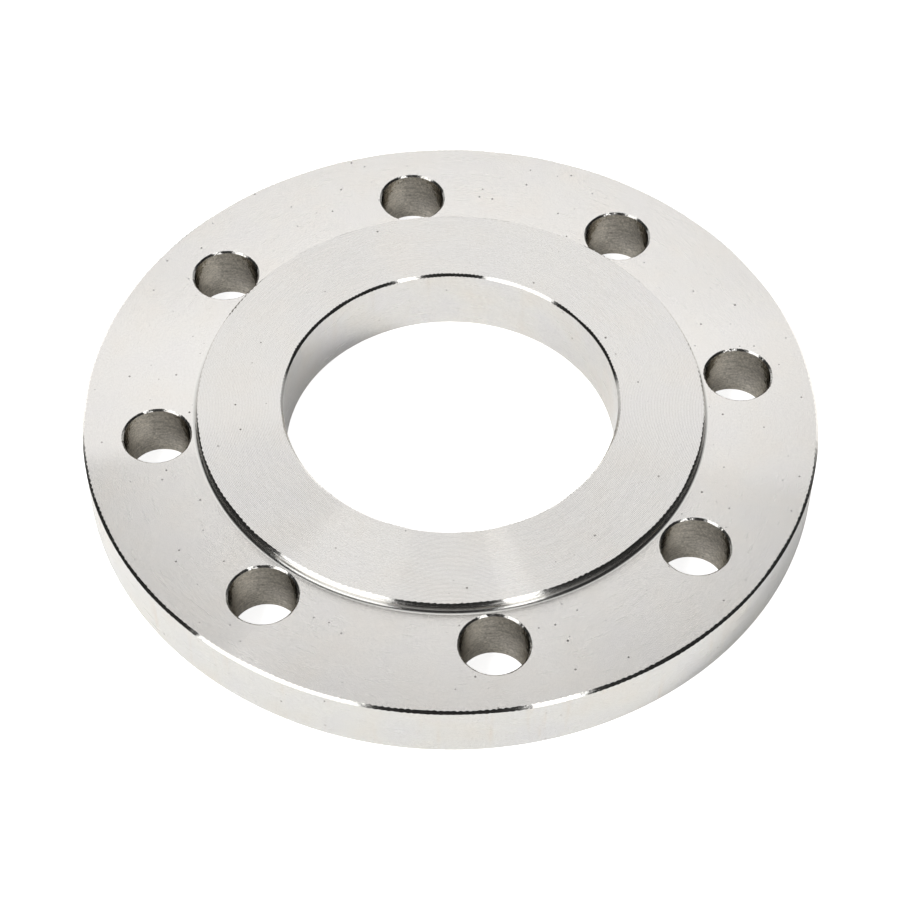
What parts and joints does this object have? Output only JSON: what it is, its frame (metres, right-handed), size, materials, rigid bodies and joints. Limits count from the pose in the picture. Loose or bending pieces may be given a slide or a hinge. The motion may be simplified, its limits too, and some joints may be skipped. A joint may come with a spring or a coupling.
{
  "type": "pipe flange",
  "caption": "Flat round steel pipe flange with a raised sealing face, a plain bore and a circle of bolt holes.",
  "frame": {"origin": "centre of the bore at the flat back face, on which the flange lies", "axes": "+Z along the bore, from the back face to the raised sealing face; the bolt holes straddle X and Y"},
  "size_m": [0.2, 0.2, 0.02],
  "materials": {
    "machined_steel": "bright turned stainless steel, with fine concentric tool marks"
  },
  "bodies": {
    "root": {"flange": "machined_steel"}
  },
  "joints": []
}
